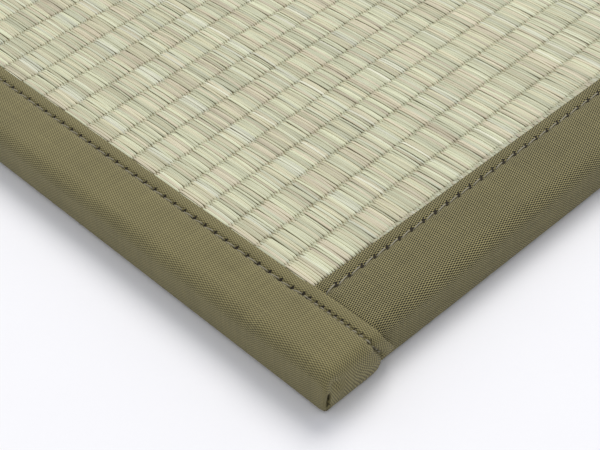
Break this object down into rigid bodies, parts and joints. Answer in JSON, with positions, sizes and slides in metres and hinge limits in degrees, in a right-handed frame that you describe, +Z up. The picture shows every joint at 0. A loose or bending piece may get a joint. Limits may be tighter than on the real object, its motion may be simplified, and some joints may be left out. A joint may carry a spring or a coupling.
{
  "type": "square tatami mat",
  "caption": "Square tatami mat with a woven rush face, bound on all edges with plain olive cloth that is topstitched and folded over at the corners.",
  "frame": {"origin": "centre of the underside, on the floor", "axes": "+Z up from the floor; the rush strands lie along Y and the rows of the weave along X; the side borders run along X and the end borders along Y"},
  "size_m": [0.82, 0.8226, 0.0213],
  "materials": {
    "rush": "woven dried rush, satin",
    "border_cloth": "plain-woven cloth, matt"
  },
  "bodies": {
    "root": {"rush_panel": "rush", "side_border_front": "border_cloth", "side_border_back": "border_cloth", "end_border_left": "border_cloth", "end_border_right": "border_cloth"}
  },
  "joints": []
}
